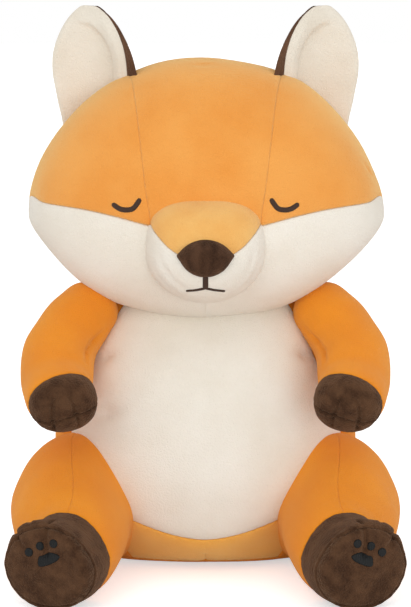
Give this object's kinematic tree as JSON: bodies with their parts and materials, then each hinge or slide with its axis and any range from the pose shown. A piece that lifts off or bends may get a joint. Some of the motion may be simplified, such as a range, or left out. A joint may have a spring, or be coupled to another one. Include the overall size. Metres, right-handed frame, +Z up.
{
  "type": "plush fox",
  "caption": "Seated plush fox of fabric panels over stuffed cores, with a nodding head, swinging arms and tail, lifting legs and folding ears.",
  "frame": {"origin": "middle of the flat base panel, on the floor", "axes": "+Z up through the head, -Y out of the face, +X to the viewer's right"},
  "size_m": [0.307, 0.3927, 0.4507],
  "materials": {
    "orange_velboa": "short-pile orange plush",
    "cream_velboa": "short-pile cream plush",
    "brown_plush": "dark brown plush with a longer nap",
    "thread": "dark satin-stitch thread",
    "filling": "white polyester fibre filling"
  },
  "bodies": {
    "torso": {"back_panel_left": "orange_velboa", "back_panel_right": "orange_velboa", "base_panel": "orange_velboa", "belly_panel": "cream_velboa", "body_stuffing": "filling", "front_strip": "orange_velboa"},
    "arm_left": {"arm_sleeve_left": "orange_velboa", "arm_stuffing_left": "filling", "paw_palm_left": "brown_plush", "paw_top_left": "brown_plush"},
    "arm_right": {"arm_sleeve_right": "orange_velboa", "arm_stuffing_right": "filling", "paw_palm_right": "brown_plush", "paw_top_right": "brown_plush"},
    "ear_left": {"ear_back_left": "brown_plush", "ear_lining_left": "cream_velboa"},
    "ear_right": {"ear_back_right": "brown_plush", "ear_lining_right": "cream_velboa"},
    "head": {"cheek_panel_left": "cream_velboa", "cheek_panel_right": "cream_velboa", "eye_left": "thread", "eye_right": "thread", "head_back_panel": "orange_velboa", "head_crown_panel": "orange_velboa", "head_side_panel_left": "orange_velboa", "head_side_panel_right": "orange_velboa", "head_stuffing": "filling", "mouth_smile": "thread", "mouth_stem": "thread", "muzzle_chin_panel": "cream_velboa", "muzzle_stuffing": "filling", "muzzle_top_panel": "orange_velboa", "nose": "brown_plush"},
    "leg_left": {"foot_sole_left": "brown_plush", "foot_upper_left": "brown_plush", "leg_stuffing_left": "filling", "main_pad_left": "thread", "thigh_inner_left": "orange_velboa", "thigh_outer_left": "orange_velboa", "toe_pad_inner_left": "thread", "toe_pad_middle_left": "thread", "toe_pad_outer_left": "thread"},
    "leg_right": {"foot_sole_right": "brown_plush", "foot_upper_right": "brown_plush", "leg_stuffing_right": "filling", "main_pad_right": "thread", "thigh_inner_right": "orange_velboa", "thigh_outer_right": "orange_velboa", "toe_pad_inner_right": "thread", "toe_pad_middle_right": "thread", "toe_pad_outer_right": "thread"},
    "tail": {"tail_sleeve": "orange_velboa", "tail_stuffing": "filling", "tail_tip": "cream_velboa"}
  },
  "joints": [
    {"name": "head_nod", "type": "hinge", "parent": "torso", "child": "head", "pos_m": [0, -0.008, 0.2], "axis": [-1, 0, 0], "range_deg": [-4, 5], "stiffness_Nm_per_rad": 40},
    {"name": "arm_swing_left", "type": "hinge", "parent": "torso", "child": "arm_left", "pos_m": [-0.068, -0.03, 0.208], "axis": [-0.766, -0.4233, 0.4838], "range_deg": [0, 20], "stiffness_Nm_per_rad": 4},
    {"name": "arm_swing_right", "type": "hinge", "parent": "torso", "child": "arm_right", "pos_m": [0.068, -0.03, 0.208], "axis": [-0.766, 0.4233, -0.4838], "range_deg": [0, 20], "stiffness_Nm_per_rad": 4},
    {"name": "leg_lift_left", "type": "hinge", "parent": "torso", "child": "leg_left", "pos_m": [-0.08, -0.02, 0.0565], "axis": [-1, 0, 0], "range_deg": [0, 9], "stiffness_Nm_per_rad": 5},
    {"name": "leg_lift_right", "type": "hinge", "parent": "torso", "child": "leg_right", "pos_m": [0.08, -0.02, 0.0565], "axis": [-1, 0, 0], "range_deg": [0, 9], "stiffness_Nm_per_rad": 5},
    {"name": "ear_fold_left", "type": "hinge", "parent": "head", "child": "ear_left", "pos_m": [-0.0765, 0.002, 0.386], "axis": [0.7199, -0.3205, 0.6157], "range_deg": [-8, 8], "stiffness_Nm_per_rad": 1},
    {"name": "ear_fold_right", "type": "hinge", "parent": "head", "child": "ear_right", "pos_m": [0.0765, 0.002, 0.386], "axis": [0.7199, 0.3205, -0.6157], "range_deg": [-8, 8], "stiffness_Nm_per_rad": 1},
    {"name": "tail_swing", "type": "hinge", "parent": "torso", "child": "tail", "pos_m": [0, 0.086, 0.048], "axis": [0, 0, 1], "range_deg": [-8, 8], "stiffness_Nm_per_rad": 2}
  ]
}
